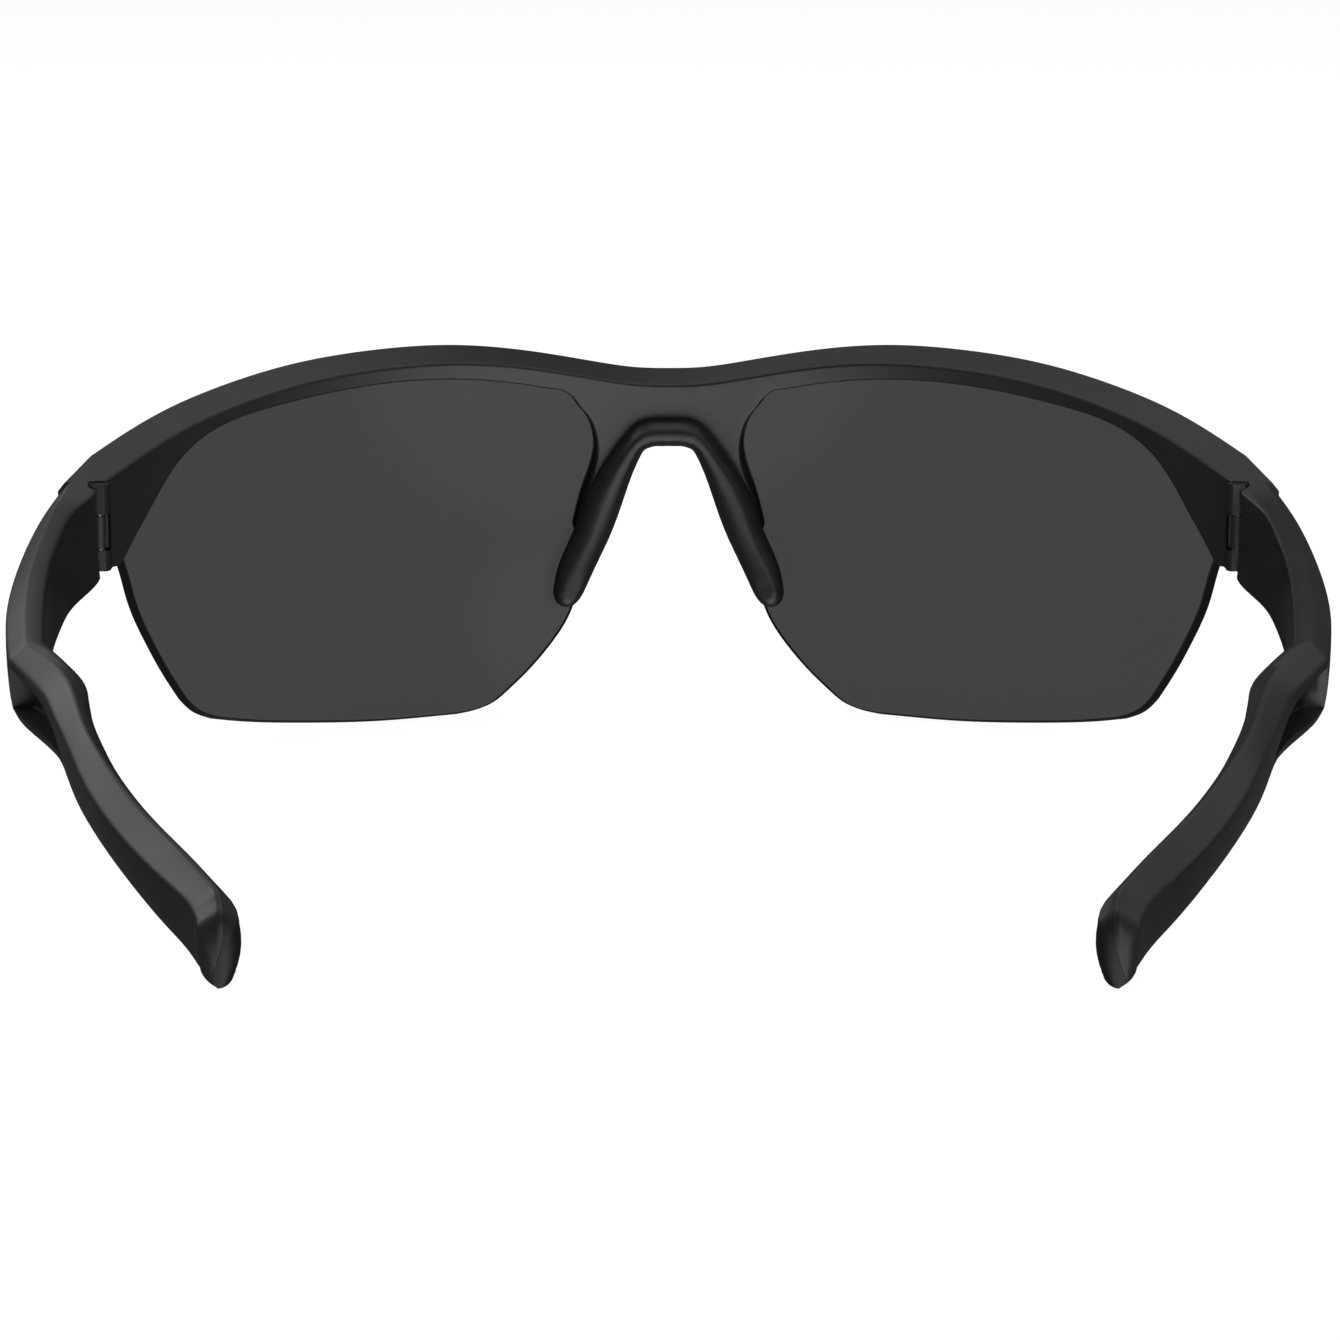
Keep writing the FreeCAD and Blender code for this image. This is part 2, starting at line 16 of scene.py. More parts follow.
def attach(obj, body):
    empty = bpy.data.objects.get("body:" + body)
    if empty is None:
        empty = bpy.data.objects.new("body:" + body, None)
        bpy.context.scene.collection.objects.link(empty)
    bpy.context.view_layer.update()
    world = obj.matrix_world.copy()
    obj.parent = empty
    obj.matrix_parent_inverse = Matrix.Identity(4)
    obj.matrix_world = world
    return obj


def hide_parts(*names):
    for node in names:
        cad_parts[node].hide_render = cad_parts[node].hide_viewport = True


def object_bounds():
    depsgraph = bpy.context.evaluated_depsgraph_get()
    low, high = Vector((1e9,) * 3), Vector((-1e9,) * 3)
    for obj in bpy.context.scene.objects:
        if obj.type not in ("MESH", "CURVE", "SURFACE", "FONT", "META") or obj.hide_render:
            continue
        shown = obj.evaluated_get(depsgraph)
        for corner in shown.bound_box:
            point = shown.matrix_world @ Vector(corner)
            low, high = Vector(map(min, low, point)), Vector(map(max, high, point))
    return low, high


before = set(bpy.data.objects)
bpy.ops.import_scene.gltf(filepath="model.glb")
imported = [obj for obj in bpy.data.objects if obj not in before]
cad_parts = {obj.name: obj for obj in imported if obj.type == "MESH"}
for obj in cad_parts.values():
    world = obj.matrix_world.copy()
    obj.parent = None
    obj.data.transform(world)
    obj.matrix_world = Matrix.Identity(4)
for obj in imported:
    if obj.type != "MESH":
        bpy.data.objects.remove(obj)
cad_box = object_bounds()

MM = 0.001
# The pieces of the front are plates between spheres about one centre, so a pair of radii
# gives each piece its place and its thickness.
CENTRE = np.array([0.0, 15.7, 24.55])
OUTLINE_RADIUS = 85.0
FRAME_OUTER = 87.7
FRAME_INNER = 82.3
LENS_OUTER = 86.3
LENS_INNER = 84.5
LENS_REBATE = 0.22
REBATE_DEPTH = 0.5
PAD_OUTER = 82.25
PAD_INNER = 79.2
PAD_CROWN = 1.1
PAD_CROWN_FOOT = -9.8
PAD_CROWN_FADE = 5.0
BROW_BEVEL_START = 1.6
BROW_BEVEL_WIDTH = 1.2
BROW_REAR_DROP = 0.15
BROW_TILT = 0.5

# ---------------------------------------------------------------- outlines of the front
# Outline points are (x, height above the centre) on the sphere of OUTLINE_RADIUS.
BROW_TOP = [(0, 16.2), (3.5, 16.3), (8.3, 17.0), (13, 17.9), (17, 18.6), (25.5, 19.5),
            (34.5, 19.3), (43, 18.3), (51.5, 16.2), (57, 14.2), (62, 11.6), (66, 9.2),
            (70.5, 6.8)]
LUG_FOOT = [(70.5, -2.1), (65.1, -1.9)]
RIM_SIDE = [(65.1, -1.9), (63.7, 0.9), (62, 4.0), (60.3, 7.1), (58.4, 9.9), (56.2, 12.0),
            (52.9, 13.8), (48.3, 15.1), (43, 16.1), (35, 17.1), (26, 17.2), (17, 16.1),
            (14.5, 15.6)]
RIM_CORNER = [(14.5, 15.6), (13.2, 15.4), (12.2, 14.8), (10.9, 13.1)]
RIM_NOSE = [(10.9, 13.1), (9.75, 11.6), (9.15, 9.9), (8.9, 8.2), (9.0, 6.75), (9.5, 4.75),
            (10.3, 2.45), (10.95, 0.15), (11.45, -1.95)]
ARM_TIP = [(11.45, -1.95), (10.8, -3.1), (9.3, -2.7)]
ARM_INSIDE = [(9.3, -2.7), (7.5, 0.6), (6.3, 3.6), (5.4, 6.2), (3.8, 8.4), (2.2, 9.3), (0, 9.5)]

LENS_SIDE = [(64.3, 1.5), (63.8, -0.8), (63.2, -3.0), (62.3, -6.9), (60.4, -12.0),
             (58.7, -15.6), (56.9, -18.8)]
LENS_FOOT_CORNER = [(56.9, -18.8), (55.4, -20.5), (53.4, -21.6)]
LENS_FOOT = [(53.4, -21.6), (50.6, -22.3), (46, -23.1), (40.8, -23.7), (35, -24.1),
             (29, -24.1), (25.5, -24.0)]
LENS_NOSE_CORNER = [(25.5, -24.0), (23, -23.6), (21.2, -22.9), (19.5, -21.6)]
LENS_NOSE = [(19.5, -21.6), (17.6, -19.9), (14.4, -16.4), (12.1, -12.9), (10.9, -9.0),
             (10.5, -4.6), (10.3, -1.5), (8.7, 3.5), (7.4, 7.0), (7.1, 9.1), (7.5, 11.0),
             (8.8, 13.4)]
LENS_TOP_CORNER = [(8.8, 13.4), (10.1, 15.6), (11.8, 16.7), (13.6, 17.1)]
LENS_TOP = [(13.6, 17.1), (17, 17.5), (26, 18.4), (35, 18.2), (43, 17.2), (48.5, 16.2),
            (53.2, 14.9), (57, 13.0), (59.5, 10.6), (61.4, 7.8), (63.1, 4.6), (64.3, 1.5)]

PAD_INSIDE = [(0, 8.6), (1.9, 8.55), (2.9, 8.2), (3.6, 7.2), (4.6, 4.9), (6.05, 0.7),
              (7.55, -3.2), (9.4, -7.0), (10.8, -9.9)]
PAD_FOOT = [(10.8, -9.9), (11.8, -11.3), (12.9, -11.8), (14.0, -11.3), (14.5, -9.9)]
PAD_OUTSIDE = [(14.5, -9.9), (14.1, -7.6), (12.9, -4.4), (11.75, -1.8), (10.6, 1.5),
               (8.2, 6.0), (5.6, 9.6), (3.8, 11.3), (2.2, 11.75), (0, 11.8)]

LUG_TRIM = {"ridge": [(-43.0, 64.6, 37.3), (-34.0, 68.7, 33.4)],
            "bevel_foot": [(-43.0, 65.3, 36.4), (-34.0, 70.4, 31.3)],
            "flank_foot": [(-43.0, 65.4, 18.0), (-34.0, 70.0, 18.0)]}

# ---------------------------------------------------------------- hinge
LUG_END_Y = -34.8
HINGE = (65.15, -34.1)
BARREL_RADIUS = 1.15
BARREL_Z = (22.7, 32.75)
TONGUE_Z = (25.25, 29.05)
KNUCKLE_GAP = 0.2
TONGUE_RADIUS = 1.0
TONGUE_BORE_RADIUS = 0.65
RECESS_RADIUS = 1.27
WEB_OVERLAP = 1.4
SCREW_BORE_RADIUS = 0.62
SCREW_BORE_TOP_Z = 31.4
HEAD_RECESS_RADIUS = 0.9
HEAD_RECESS_TOP_Z = 23.5
LUG_FACE_Y = HINGE[1] + 0.93

# ---------------------------------------------------------------- rails of the left temple
# Each rail is one long edge of the temple, with points (y, x, z).
FRONT_RAILS = {
    "inner_top": [(-34.6, 65.0, 32.9), (-32.6, 65.3, 32.2), (-30.4, 66.2, 31.5),
                  (-27.3, 67.1, 30.8),
                  (-19.3, 67.7, 29.3), (-12.3, 67.9, 27.9), (-3.3, 67.5, 26.2),
                  (4.7, 66.8, 24.6), (13.2, 65.8, 23.0)],
    "ridge": [(-34.6, 68.6, 32.75), (-31.8, 69.2, 31.7), (-24.3, 69.7, 30.1),
              (-13.3, 70.0, 27.9), (0.2, 69.4, 25.2), (13.2, 67.8, 22.7)],
    "outer_top": [(-34.6, 70.0, 31.2), (-31.3, 70.8, 30.1), (-23.3, 71.8, 28.0),
                  (-13.8, 72.1, 26.1), (-4.3, 71.9, 24.3), (4.2, 71.1, 22.7),
                  (13.2, 69.7, 20.9)],
    "outer_foot": [(-34.6, 69.6, 22.9), (-29.3, 70.6, 21.0), (-17.8, 71.3, 19.5),
                   (-4.3, 71.1, 17.5), (4.2, 70.6, 16.4), (13.2, 69.3, 15.3)],
    "inner_foot": [(-34.6, 64.8, 22.3), (-32.6, 65.1, 21.4), (-30.4, 65.9, 20.6),
                   (-27.3, 66.8, 20.0),
                   (-17.3, 67.7, 18.6), (-11.3, 67.8, 17.5), (0.7, 67.1, 15.7),
                   (13.2, 65.7, 13.9)],
}
REAR_RAILS = {
    "inner_top": [(13.2, 65.8, 23.0), (16.2, 64.2, 22.5), (19.7, 61.9, 21.3),
                  (22.2, 60.5, 20.4), (25.7, 59.7, 19.4), (31.7, 58.6, 18.2),
                  (39.2, 56.5, 16.6), (46.2, 54.1, 15.0), (52.2, 51.3, 13.3),
                  (58.2, 48.1, 11.6), (63.7, 44.6, 9.8), (67.5, 42.0, 8.2),
                  (70.0, 40.6, 6.2), (71.4, 40.9, 3.6)],
    "ridge": [(13.2, 67.8, 22.7), (19.2, 63.9, 21.5), (26.7, 61.2, 20.1),
              (34.7, 59.3, 18.5), (41.7, 57.0, 17.1), (54.2, 51.3, 13.7),
              (60.9, 47.2, 11.6), (66.7, 43.7, 9.6), (69.6, 42.6, 8.0),
              (71.4, 42.4, 4.8)],
    "outer_top": [(13.2, 69.7, 20.9), (16.7, 67.6, 20.1), (21.7, 65.1, 19.1),
                  (26.2, 63.8, 18.2), (32.2, 62.1, 17.0), (39.2, 60.1, 15.6),
                  (44.7, 58.4, 14.3), (54.7, 54.0, 11.5), (62.7, 49.1, 9.0),
                  (68.2, 45.6, 7.1), (70.0, 44.8, 6.0),
                  (71.4, 43.8, 4.2)],
    "outer_foot": [(13.2, 69.3, 15.3), (18.7, 67.6, 14.75), (23.2, 65.1, 13.9),
                   (26.5, 63.2, 13.1), (31.7, 61.5, 12.0), (39.2, 59.4, 10.4),
                   (45.9, 56.9, 8.8), (52.2, 54.2, 7.2), (57.7, 51.4, 5.5),
                   (63.0, 48.4, 3.8), (68.0, 45.5, 2.0), (70.0, 44.3, 1.0),
                   (71.4, 43.2, 0.4)],
    "inner_foot": [(13.2, 65.7, 13.9), (19.7, 62.0, 13.5), (26.2, 59.9, 12.5),
                   (39.2, 56.8, 10.0), (46.2, 54.4, 8.4), (58.2, 48.3, 4.7),
                   (65.2, 43.6, 1.9), (69.0, 41.2, 0.8), (71.4, 42.3, 0.0)],
}
WINDOW = [(13.4, 15.9, 20.2), (17.2, 15.7, 19.3), (22.2, 15.1, 18.0), (27.2, 14.2, 16.5),
          (31.4, 13.6, 14.3)]
WINDOW_DEPTH = 2.6
TEMPLE_FRONT_Y = -34.68
KINK_Y = 13.2
TIP_Y = 71.4
TIP_DOME = 1.7
TIP_CLEARANCE = 0.03
GRIP_FRONT_Y = 19.6
GRIP_GAP = 0.03
GRIP_PARTING = (0.3, 0.2)
GRIP_FOOT_THICKNESS = 1.3
TEMPLE_RADII = [0.5, 0.45, 0.4, 0.7, 0.6]
REAR_RADII = [0.6, 0.5, 0.6, 0.9, 0.5]
CORNER_SHARE = 0.38


# ---------------------------------------------------------------- curves
def smooth_through(knots, values):
    """A natural cubic spline through the values at the knots, as a function."""
    knots = np.asarray(knots, float)
    values = np.asarray(values, float)
    gaps = np.diff(knots)
    count = len(knots)
    matrix = np.eye(count)
    right = np.zeros_like(values)
    for i in range(1, count - 1):
        matrix[i, i - 1:i + 2] = gaps[i - 1], 2 * (gaps[i - 1] + gaps[i]), gaps[i]
        right[i] = 6 * ((values[i + 1] - values[i]) / gaps[i]
                        - (values[i] - values[i - 1]) / gaps[i - 1])
    bends = np.linalg.solve(matrix, right)

    def at(where):
        i = int(np.clip(np.searchsorted(knots, where) - 1, 0, count - 2))
        a = (knots[i + 1] - where) / gaps[i]
        b = 1 - a
        return (a * values[i] + b * values[i + 1]
                + ((a ** 3 - a) * bends[i] + (b ** 3 - b) * bends[i + 1]) * gaps[i] ** 2 / 6)

    return at


def dense_chain(points, step):
    """Evenly spaced points along the smooth curve through a chain, without its last point."""
    points = np.asarray(points, float)
    lengths = np.concatenate([[0], np.cumsum(np.linalg.norm(np.diff(points, axis=0), axis=1))])
    curve = smooth_through(lengths, points)
    count = max(2, int(round(lengths[-1] / step)))
    return [curve(lengths[-1] * k / count) for k in range(count)]


def outline(chains, step=0.45):
    """A closed outline from chains of points, in order round the piece."""
    points = []
    for index, chain in enumerate(chains):
        points += dense_chain(chain, step)
        following = chains[(index + 1) % len(chains)][0]
        if tuple(chain[-1]) != tuple(following):
            points += dense_chain([chain[-1], following], step)
    return np.array(points)


def both_halves(chains):
    """Complete half an outline, given from its top centre round to its lower centre."""
    return chains + [[(-x, up) for x, up in reversed(chain)] for chain in reversed(chains)]


# ---------------------------------------------------------------- meshes
def new_object(name, vertices, faces, smooth_angle=40.0):
    """A mesh object from points in millimetres."""
    mesh = bpy.data.meshes.new(name)
    mesh.from_pydata([Vector(v) * MM for v in vertices], [], faces)
    mesh.update()
    obj = bpy.data.objects.new(name, mesh)
    bpy.context.scene.collection.objects.link(obj)
    tidy(obj, smooth_angle)
    return obj


def tidy(obj, smooth_angle=40.0):
    """Face normals outward, shade smooth and keep real corners sharp."""
    work = bmesh.new()
    work.from_mesh(obj.data)
    bmesh.ops.remove_doubles(work, verts=work.verts, dist=1e-7)
    bmesh.ops.recalc_face_normals(work, faces=work.faces)
    work.to_mesh(obj.data)
    work.free()
    obj.data.shade_smooth()
    obj.data.set_sharp_from_angle(angle=math.radians(smooth_angle))


def apply_modifiers(obj):
    """Bake an object's modifiers into its mesh."""
    graph = bpy.context.evaluated_depsgraph_get()
    mesh = bpy.data.meshes.new_from_object(obj.evaluated_get(graph))
    old = obj.data
    obj.modifiers.clear()
    obj.data = mesh
    bpy.data.meshes.remove(old)


def combine(obj, others, operation):
    """Cut other closed meshes out of a closed mesh, or join them to it."""
    for other in others:
        step = obj.modifiers.new(operation, "BOOLEAN")
        step.operation = operation
        step.solver = "EXACT"
        step.object = other
        apply_modifiers(obj)
        mesh = other.data
        bpy.data.objects.remove(other)
        bpy.data.meshes.remove(mesh)


def weighted_normals(obj):
    """Let the large faces decide the shading where small edge faces meet them."""
    step = obj.modifiers.new("weighted_normals", "WEIGHTED_NORMAL")
    step.keep_sharp = True
    step.weight = 80
    apply_modifiers(obj)


def mirrored(obj, name):
    """A copy for the wearer's right side."""
    mesh = obj.data.copy()
    mesh.transform(Matrix.Scale(-1, 4, (1, 0, 0)))
    mesh.flip_normals()
    copy = bpy.data.objects.new(name, mesh)
    bpy.context.scene.collection.objects.link(copy)
    return copy


def prism(name, lower, upper):
    """A closed solid between two polygons with the same number of corners."""
    count = len(lower)
    sides = [(i, (i + 1) % count, count + (i + 1) % count, count + i) for i in range(count)]
    caps = [tuple(reversed(range(count))), tuple(range(count, 2 * count))]
    return new_object(name, list(lower) + list(upper), sides + caps, 30.0)


def post(name, radius, low, high, sides=48):
    """An upright cylinder on the left hinge axis."""
    angles = [2 * math.pi * k / sides for k in range(sides)]
    ring = [(HINGE[0] + radius * math.cos(a), HINGE[1] + radius * math.sin(a)) for a in angles]
    return prism(name, [(x, y, low) for x, y in ring], [(x, y, high) for x, y in ring])


def block(name, low, high):
    """A box between two corners."""
    corners = [(low[0], low[1]), (high[0], low[1]), (high[0], high[1]), (low[0], high[1])]
    return prism(name, [(x, y, low[2]) for x, y in corners],
                 [(x, y, high[2]) for x, y in corners])


# ---------------------------------------------------------------- curved plates
def directions(points):
    """Unit vectors from the common centre to outline points."""
    x, up = points[:, 0], points[:, 1]
    away = np.stack([x, -np.sqrt(OUTLINE_RADIUS ** 2 - x ** 2 - up ** 2), up], axis=1)
    return away / np.linalg.norm(away, axis=1)[:, None]


def sideways(rays):
    """For each ray of a closed outline, the unit vector across the outline, pointing in."""
    along = np.roll(rays, -1, axis=0) - np.roll(rays, 1, axis=0)
    across = np.cross(rays, along)
    across /= np.linalg.norm(across, axis=1)[:, None]
    chart = flat(rays)
    following = np.roll(chart, -1, axis=0)
    area = np.sum(chart[:, 0] * following[:, 1] - following[:, 0] * chart[:, 1])
    return across * np.sign(area)


def flat(rays):
    """Longitude and latitude of rays, in radians, as a flat chart."""
    return np.stack([np.arctan2(rays[:, 0], -rays[:, 1]), np.arcsin(rays[:, 2])], axis=1)


def unflat(chart):
    """Rays from longitude and latitude."""
    lon, lat = chart[:, 0], chart[:, 1]
    return np.stack([np.sin(lon) * np.cos(lat), -np.cos(lon) * np.cos(lat), np.sin(lat)], axis=1)


def inside(points, loop):
    """Which points of a flat chart are inside a closed loop."""
    hit = np.zeros(len(points), bool)
    following = np.roll(loop, -1, axis=0)
    for (ax, ay), (bx, by) in zip(loop, following):
        if ay != by:
            crosses = (ay > points[:, 1]) != (by > points[:, 1])
            hit ^= crosses & (points[:, 0] < (bx - ax) * (points[:, 1] - ay) / (by - ay) + ax)
    return hit


def filled(rays, spacing):
    """Triangles over the inside of a closed outline: all rays, and faces between them."""
    loop = flat(rays)
    low, high = loop.min(axis=0), loop.max(axis=0)
    step = spacing / OUTLINE_RADIUS
    grid = np.array([(a, b) for i, b in enumerate(np.arange(low[1], high[1], step * 0.866))
                     for a in np.arange(low[0] + (i % 2) * step / 2, high[0], step)])
    grid = grid[inside(grid, loop)]
    near = np.min(np.linalg.norm(grid[:, None] - loop[None], axis=2), axis=1)
    grid = grid[near > 0.55 * step]
    chart = np.concatenate([loop, grid])
    edges = [(i, (i + 1) % len(loop)) for i in range(len(loop))]
    points, _, faces, _, _, _ = delaunay_2d_cdt([Vector(p) for p in chart], edges, [], 1, 1e-9)
    return unflat(np.array([(p.x, p.y) for p in points])), [tuple(f) for f in faces]


def plate(name, edge, outer, inner, round_outer, round_inner, spacing, shape=None, steps=5):
    """A plate between two spheres about the common centre, with rounded edges.

    edge is its closed outline, and round_outer and round_inner are the edge radii on the
    far side and on the wearer's side, each turned in so many steps. shape, if given, moves
    finished points."""
    rays = directions(edge)
    across = sideways(rays)
    rings = []
    for k in range(steps + 1):
        turn = math.pi / 2 * k / steps
        inset = round_outer * (1 - math.sin(turn))
        rings.append((inset, outer - round_outer * (1 - math.cos(turn))))
    for k in range(steps + 1):
        turn = math.pi / 2 * k / steps
        inset = round_inner * (1 - math.cos(turn))
        rings.append((inset, inner + round_inner * (1 - math.sin(turn))))
    vertices = []
    faces = []
    count = len(rays)
    for inset, radius in rings:
        shifted = rays + across * (inset / radius)
        shifted /= np.linalg.norm(shifted, axis=1)[:, None]
        vertices += list(CENTRE + shifted * radius)
    for k in range(len(rings) - 1):
        for i in range(count):
            j = (i + 1) % count
            faces.append((k * count + i, k * count + j, (k + 1) * count + j, (k + 1) * count + i))
    for inset, radius in (rings[0], rings[-1]):
        border = rays + across * (inset / radius)
        border /= np.linalg.norm(border, axis=1)[:, None]
        cap_rays, cap_faces = filled(border, spacing)
        start = len(vertices)
        vertices += list(CENTRE + cap_rays * radius)
        faces += [tuple(start + i for i in face) for face in cap_faces]
    if shape is not None:
        vertices = [shape(np.asarray(v)) for v in vertices]
    return new_object(name, vertices, faces, 60.0)


# ---------------------------------------------------------------- lofted temples
def rails_at(rails):
    """For each rail, its point (x, y, z) as a function of y."""
    curves = {name: smooth_through([p[0] for p in points], [(p[1], p[2]) for p in points])
              for name, points in rails.items()}

    def at(name, y):
        x, z = curves[name](y)
        return np.array([x, y, z])

    return at


FRONT_AT = rails_at(FRONT_RAILS)
REAR_AT = rails_at(REAR_RAILS)
WINDOW_AT = smooth_through([w[0] for w in WINDOW], [(w[1], w[2]) for w in WINDOW])
CORNERS = ["inner_top", "ridge", "outer_top", "outer_foot", "inner_foot"]


def rounded_ring(corners, radii, bulges, along=4, steps=4):
    """A closed ring round a polygon, with rounded corners and gently crowned sides.

    bulges is how far the side after each corner stands out at its middle."""
    ring = []
    count = len(corners)
    middle = sum(corners) / count
    for i in range(count):
        here = corners[i]
        before = corners[i - 1]
        after = corners[(i + 1) % count]
        to_before = before - here
        to_after = after - here
        reach_before = min(radii[i], CORNER_SHARE * np.linalg.norm(to_before))
        reach_after = min(radii[i], CORNER_SHARE * np.linalg.norm(to_after))
        start = here + to_before / np.linalg.norm(to_before) * reach_before
        end = here + to_after / np.linalg.norm(to_after) * reach_after
        for k in range(steps + 1):
            t = k / steps
            ring.append((1 - t) ** 2 * start + 2 * t * (1 - t) * here + t ** 2 * end)
        to_corner = here - after
        following = min(radii[(i + 1) % count], CORNER_SHARE * np.linalg.norm(to_corner))
        stop = after + to_corner / np.linalg.norm(to_corner) * following
        side = stop - end
        out = np.array([side[2], 0.0, -side[0]])
        out /= max(np.linalg.norm(out), 1e-9)
        if np.dot(out, (end + stop) / 2 - middle) < 0:
            out = -out
        for k in range(1, along + 1):
            t = k / (along + 1)
            ring.append(end + side * t + out * bulges[i] * 4 * t * (1 - t))
    return ring


def loft(name, rings):
    """A closed skin over rings with equal numbers of points."""
    rings = [np.array(ring) for ring in rings]
    count = len(rings[0])
    vertices = [v for ring in rings for v in ring]
    faces = []
    for k in range(len(rings) - 1):
        for i in range(count):
            j = (i + 1) % count
            faces.append((k * count + i, k * count + j, (k + 1) * count + j, (k + 1) * count + i))
    faces.append(tuple(reversed(range(count))))
    faces.append(tuple(range((len(rings) - 1) * count, len(rings) * count)))
    return new_object(name, vertices, faces, 50.0)


def rounded_tip(ring, length, steps=10):
    """Rings that close the end of the temple to an upright rounded edge."""
    ring = np.array(ring)
    middle = ring[:, 0].mean()
    foot = ring[:, 2].min()
    rings = []
    for k in range(1, steps):
        turn = math.pi / 2 * k / (steps - 0.5)
        closed = ring.copy()
        closed[:, 0] = middle + (ring[:, 0] - middle) * math.cos(turn) ** 0.9
        closed[:, 1] += length * math.sin(turn)
        closed[:, 2] = (foot * (1 - math.sin(turn)) + TIP_CLEARANCE
                        + (ring[:, 2] - foot) * math.cos(turn) ** 0.4)
        rings.append(closed)
    return rings


def stations(first, last, step):
    """Evenly spaced places along y."""
    count = max(1, int(math.ceil((last - first) / step)))
    return [first + (last - first) * k / count for k in range(count + 1)]


def parting(y):
    """The upper and lower corner of the surface between temple and grip."""
    top = REAR_AT("ridge", y) - np.array([GRIP_PARTING[0], 0, GRIP_PARTING[1]])
    bottom = REAR_AT("inner_foot", y) + np.array([GRIP_FOOT_THICKNESS, 0, 0])
    return top, bottom


def temple_ring(y, rails, radii):
    """The section of the whole temple at y, hollow inside at the front, full at the grip."""
    corners = [rails(name, y) for name in CORNERS]
    inner_bulge = float(np.interp(y, [KINK_Y, GRIP_FRONT_Y + 6], [-0.25, 0.4]))
    return rounded_ring(corners, radii, [0.05, 0.02, 0.12, 0.1, inner_bulge])


def grip_space(name, gap):
    """The space on the inner side of the parting surface, set back from it by a gap."""
    sections = []
    for y in stations(GRIP_FRONT_Y + gap, TIP_Y + 1.4, 0.7):
        top, bottom = (corner - np.array([gap, 0, 0]) for corner in parting(min(y, TIP_Y)))
        over, under, away = np.array([0, 0, 4.0]), np.array([0, 0, -4.0]), np.array([-15.0, 0, 0])
        ring = np.array([top + over, top, bottom, bottom + under, bottom + under + away,
                         top + over + away])
        ring[:, 1] = y
        sections.append(ring)
    return loft(name, sections)


def window_tool():
    """The space of the blind window in the outer side."""
    sections = []
    for y in stations(WINDOW[0][0], WINDOW[-1][0], 0.8):
        low, high = WINDOW_AT(y)
        outer = REAR_AT("outer_top", y)[0] + 4
        inner = REAR_AT("outer_top", y)[0] - WINDOW_DEPTH
        corners = [np.array([inner, y, low]), np.array([outer, y, low]),
                   np.array([outer, y, high]), np.array([inner, y, high])]
        sections.append(rounded_ring(corners, [0.35, 0.1, 0.1, 0.35], [0, 0, 0, 0], 2, 3))
    return loft("window_tool", sections)


def whole_temple(name):
    """The left temple with its grip, as one skin."""
    rings = [temple_ring(y, FRONT_AT, TEMPLE_RADII)
             for y in stations(TEMPLE_FRONT_Y, KINK_Y, 0.8)[:-1]]
    rings += [temple_ring(y, REAR_AT, REAR_RADII)
              for y in stations(KINK_Y, TIP_Y - TIP_DOME, 0.65)]
    return loft(name, rings + rounded_tip(rings[-1], TIP_DOME))


def make_temple():
    """The left temple's nylon arm."""
    arm = whole_temple("left_arm_skin")
    recesses = [post("lower_recess", RECESS_RADIUS, BARREL_Z[0] - 3, TONGUE_Z[0]),
                post("upper_recess", RECESS_RADIUS, TONGUE_Z[1], BARREL_Z[1] + 3)]
    combine(arm, recesses + [window_tool(), grip_space("grip_seat", 0.0)], "DIFFERENCE")
    combine(arm, [post("tongue", TONGUE_RADIUS, TONGUE_Z[0], TONGUE_Z[1])], "UNION")
    relief = block("tongue_relief", (HINGE[0] - 1.2, HINGE[1] - 0.3, TONGUE_Z[0] - 0.5),
                   (HINGE[0] - 0.66, HINGE[1] + 1.2, TONGUE_Z[1] + 0.5))
    combine(arm, [post("tongue_bore", TONGUE_BORE_RADIUS, TONGUE_Z[0] - 1, TONGUE_Z[1] + 1),
                  relief], "DIFFERENCE")
    tidy(arm, 62.0)
    weighted_normals(arm)
    return arm


def make_grip():
    """The rubber grip on the inner side of the left temple."""
    grip = whole_temple("left_grip_skin")
    combine(grip, [grip_space("grip_room", GRIP_GAP)], "INTERSECT")
    tidy(grip, 62.0)
    weighted_normals(grip)
    return grip


def grown(edge, by):
    """The same outline moved out by a distance on the sphere."""
    rays = directions(edge)
    moved = rays - sideways(rays) * (by / OUTLINE_RADIUS)
    moved /= np.linalg.norm(moved, axis=1)[:, None]
    return OUTLINE_RADIUS * moved[:, [0, 2]]


def crowned_brow(point):
    """Tip the top face of the brow up a little towards the front."""
    x, y, z = point - CENTRE
    reach = np.linalg.norm((x, y, z))
    top = np.interp(abs(x) * OUTLINE_RADIUS / reach, [p[0] for p in BROW_TOP],
                    [p[1] for p in BROW_TOP])
    height = z * OUTLINE_RADIUS / reach
    near_top = np.clip((height - top + BROW_BEVEL_START) / BROW_BEVEL_WIDTH, 0, 1)
    forward = (reach - FRAME_INNER) / (FRAME_OUTER - FRAME_INNER)
    lift = near_top * (BROW_TILT * forward - BROW_REAR_DROP)
    return point + np.array([0.0, 0.0, lift])


PAD_INNER_LINE = outline(both_halves([PAD_INSIDE]))
PAD_OUTER_LINE = outline(both_halves([PAD_OUTSIDE[::-1]]))


